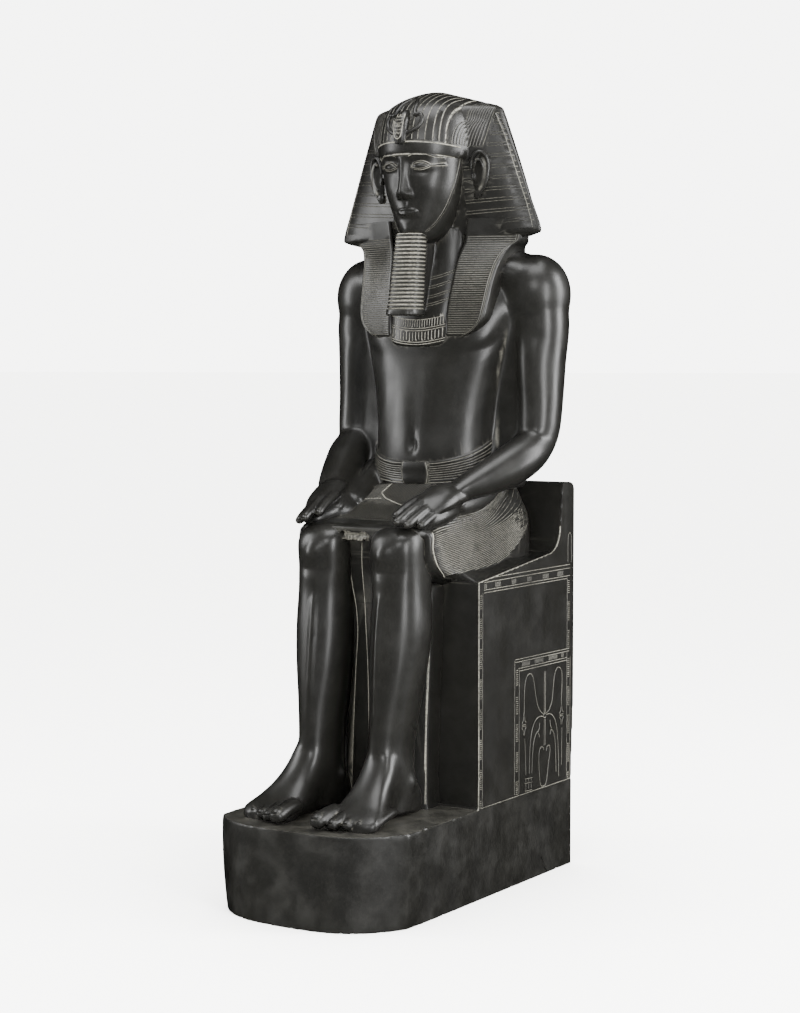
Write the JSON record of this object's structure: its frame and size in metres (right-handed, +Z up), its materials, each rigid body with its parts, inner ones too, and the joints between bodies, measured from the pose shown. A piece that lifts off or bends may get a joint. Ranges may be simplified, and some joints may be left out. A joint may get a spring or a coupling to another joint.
{
  "type": "pharaoh statue",
  "caption": "Seated royal figure with headcloth, ribbed false beard and pleated kilt, carved with its block throne and round-fronted plinth from one dark stone.",
  "frame": {"origin": "middle of the plinth's underside", "axes": "+Z up, -Y the way the figure faces, +X the figure's left"},
  "size_m": [0.6511, 0.917, 1.921],
  "materials": {
    "polished_dark_stone": "polished"
  },
  "bodies": {
    "root": {"pharaoh_statue": "polished_dark_stone"}
  },
  "joints": []
}
